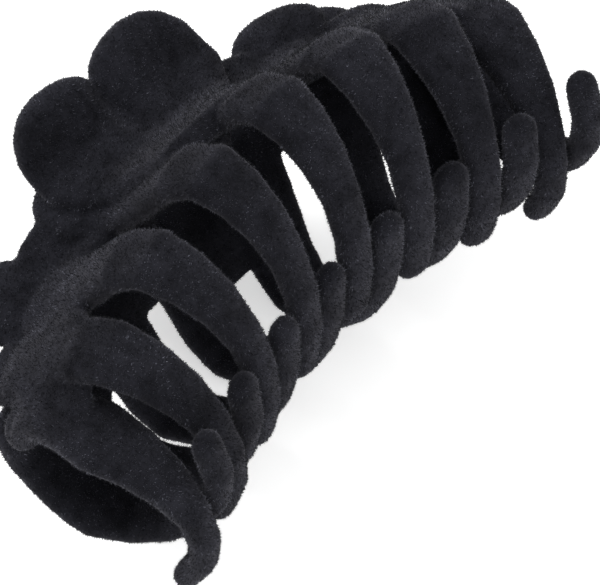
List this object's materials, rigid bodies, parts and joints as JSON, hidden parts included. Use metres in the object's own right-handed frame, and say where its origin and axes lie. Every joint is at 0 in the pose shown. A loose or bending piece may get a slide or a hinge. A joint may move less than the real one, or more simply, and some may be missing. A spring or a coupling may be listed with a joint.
{
  "type": "claw clip",
  "caption": "Large hair claw clip: two arched jaws of curved interleaving tines, hinged on a pin, with a spring between two-lobed handles.",
  "frame": {"origin": "middle of the space that the closed jaws hold, midway between the two jaws and halfway along the clip", "axes": "+X along the hinge pin, +Y towards the handles, +Z from the rear jaw up to the front jaw, as the clip lies on its rear jaw"},
  "size_m": [0.0922, 0.0552, 0.0522],
  "materials": {
    "flocked_plastic": "flocked",
    "steel": "drawn"
  },
  "bodies": {
    "rear": {"rear_jaw": "flocked_plastic", "hinge_pin": "steel", "torsion_spring": "steel"},
    "front": {"front_jaw": "flocked_plastic"}
  },
  "joints": [
    {"name": "jaw_hinge", "type": "hinge", "parent": "rear", "child": "front", "pos_m": [0, 0.0215, 0], "axis": [-1, 0, 0], "range_deg": [0, 55], "stiffness_Nm_per_rad": 0.1, "springref_deg": -85.94, "deforming": ["torsion_spring"]}
  ]
}
